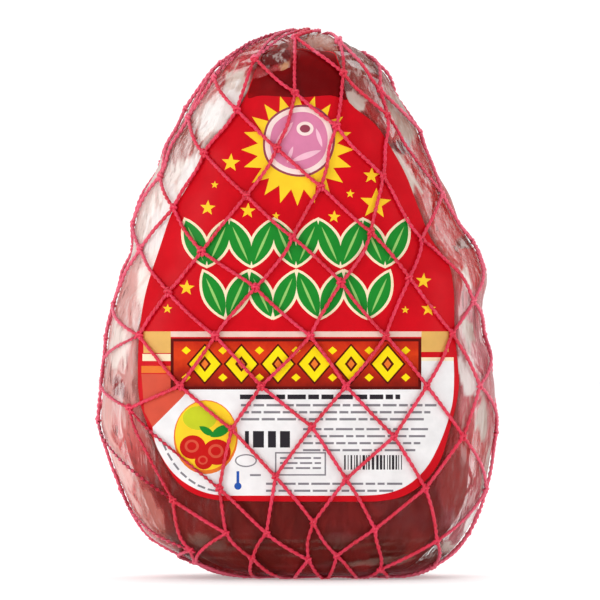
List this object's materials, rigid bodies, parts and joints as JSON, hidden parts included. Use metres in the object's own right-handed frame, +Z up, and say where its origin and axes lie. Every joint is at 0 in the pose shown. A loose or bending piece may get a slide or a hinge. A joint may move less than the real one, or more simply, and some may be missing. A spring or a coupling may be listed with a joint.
{
  "type": "netted cooked ham",
  "caption": "Whole pressed cooked ham, pear-shaped and flat-based, sealed in clear film with a printed front label, in a knotted diamond net clipped at the top.",
  "frame": {"origin": "on the floor under the middle of the whole pack", "axes": "+Z up from the broad base to the gathered top, -Y is the front with the label, +X is to the right as seen from the front"},
  "size_m": [0.1614, 0.0842, 0.2205],
  "materials": {
    "sealed_ham": "clear crumpled film over smoked ham",
    "label": "smooth printed film",
    "net": "knotted two-strand twine, satin",
    "net_clip": "crimped plain metal"
  },
  "bodies": {
    "root": {"sealed_ham": "sealed_ham", "label": "label", "net": "net", "net_clip": "net_clip"}
  },
  "joints": []
}
